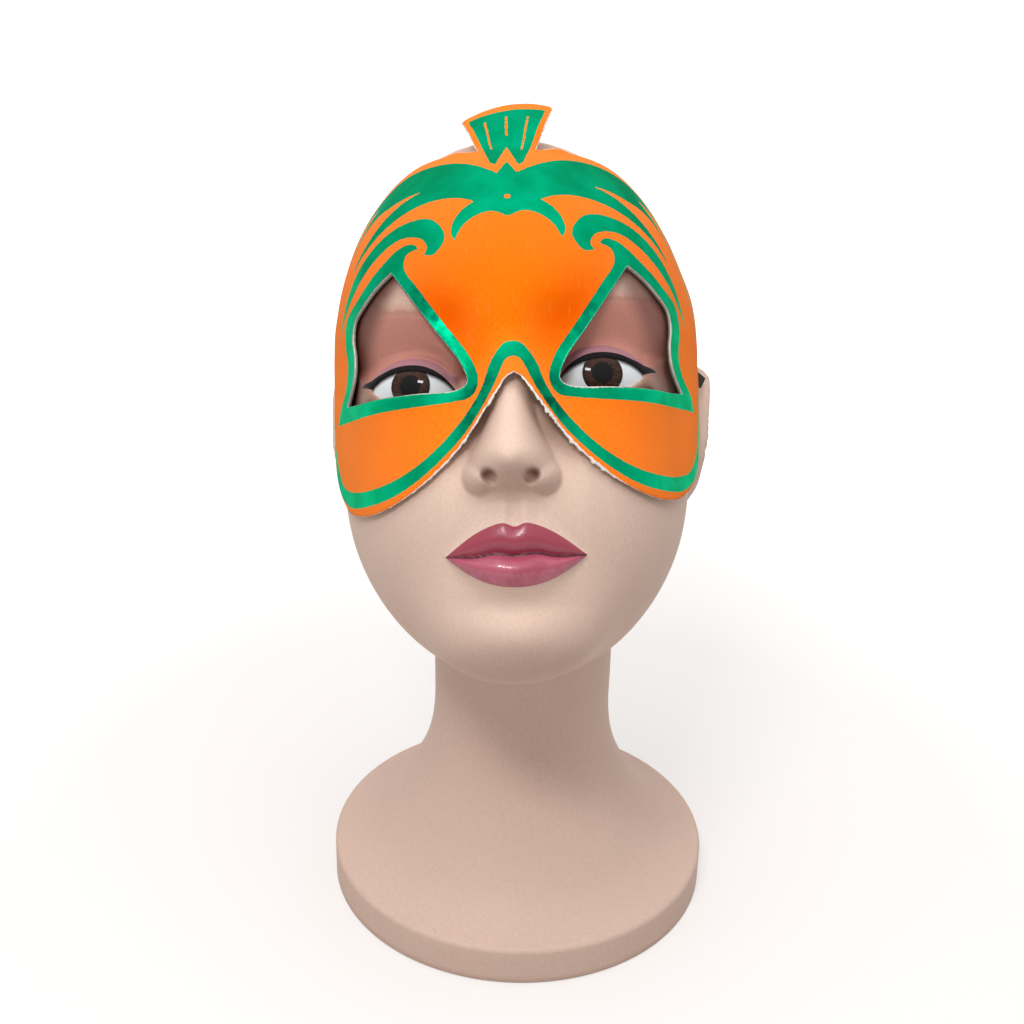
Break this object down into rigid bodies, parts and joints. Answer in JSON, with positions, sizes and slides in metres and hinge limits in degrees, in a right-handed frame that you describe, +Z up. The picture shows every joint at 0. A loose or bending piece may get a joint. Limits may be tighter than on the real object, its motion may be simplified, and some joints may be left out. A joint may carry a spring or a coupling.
{
  "type": "pumpkin mask",
  "caption": "Wraparound party eye mask in orange board with green foil scrollwork, a pumpkin stem on top and an elastic band, worn by a mannequin display head on a round foot.",
  "frame": {"origin": "middle of the underside of the round foot", "axes": "+Z up, -Y the way the face looks, +X to the viewer's right as the mask is seen from the front"},
  "size_m": [0.1628, 0.2298, 0.3294],
  "materials": {
    "mask_board": "orange flocked board with green metallic foil print and a white cut edge",
    "elastic": "woven black elastic",
    "head_shell": "skin-coloured moulded shell, matte, with painted glossy lips and eyes"
  },
  "bodies": {
    "root": {"pumpkin_mask": "mask_board", "elastic_band": "elastic", "display_head": "head_shell"}
  },
  "joints": []
}
